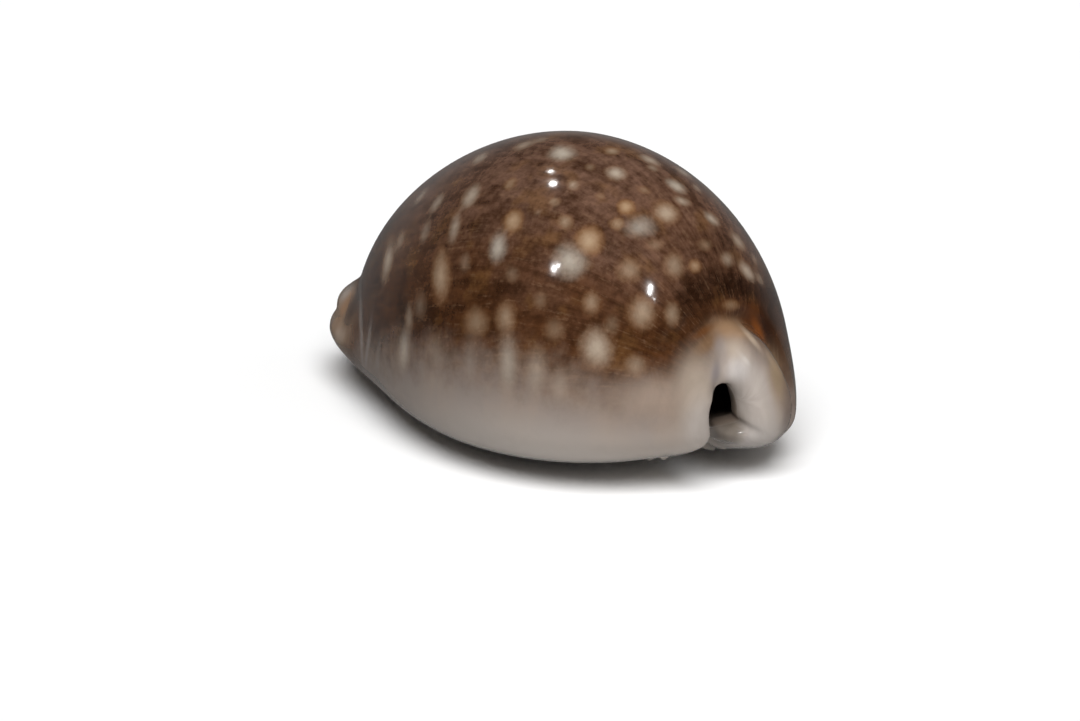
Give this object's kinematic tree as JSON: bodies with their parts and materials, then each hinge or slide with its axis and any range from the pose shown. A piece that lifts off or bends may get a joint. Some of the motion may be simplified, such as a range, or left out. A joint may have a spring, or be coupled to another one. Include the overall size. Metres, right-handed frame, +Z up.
{
  "type": "cowrie shell",
  "caption": "Glossy brown cowrie shell with pale spots, pale margins and a toothed slit along its base, resting on that base.",
  "frame": {"origin": "middle of the shell's box on the surface that it rests on", "axes": "+X from the fore spout towards the hind opening, +Y towards the outer lip, +Z up to the crown"},
  "size_m": [0.0622, 0.0384, 0.0321],
  "materials": {
    "shell": "glossy natural shell enamel, brown with pale spots, pale grey margins and base"
  },
  "bodies": {
    "root": {"shell": "shell"}
  },
  "joints": []
}
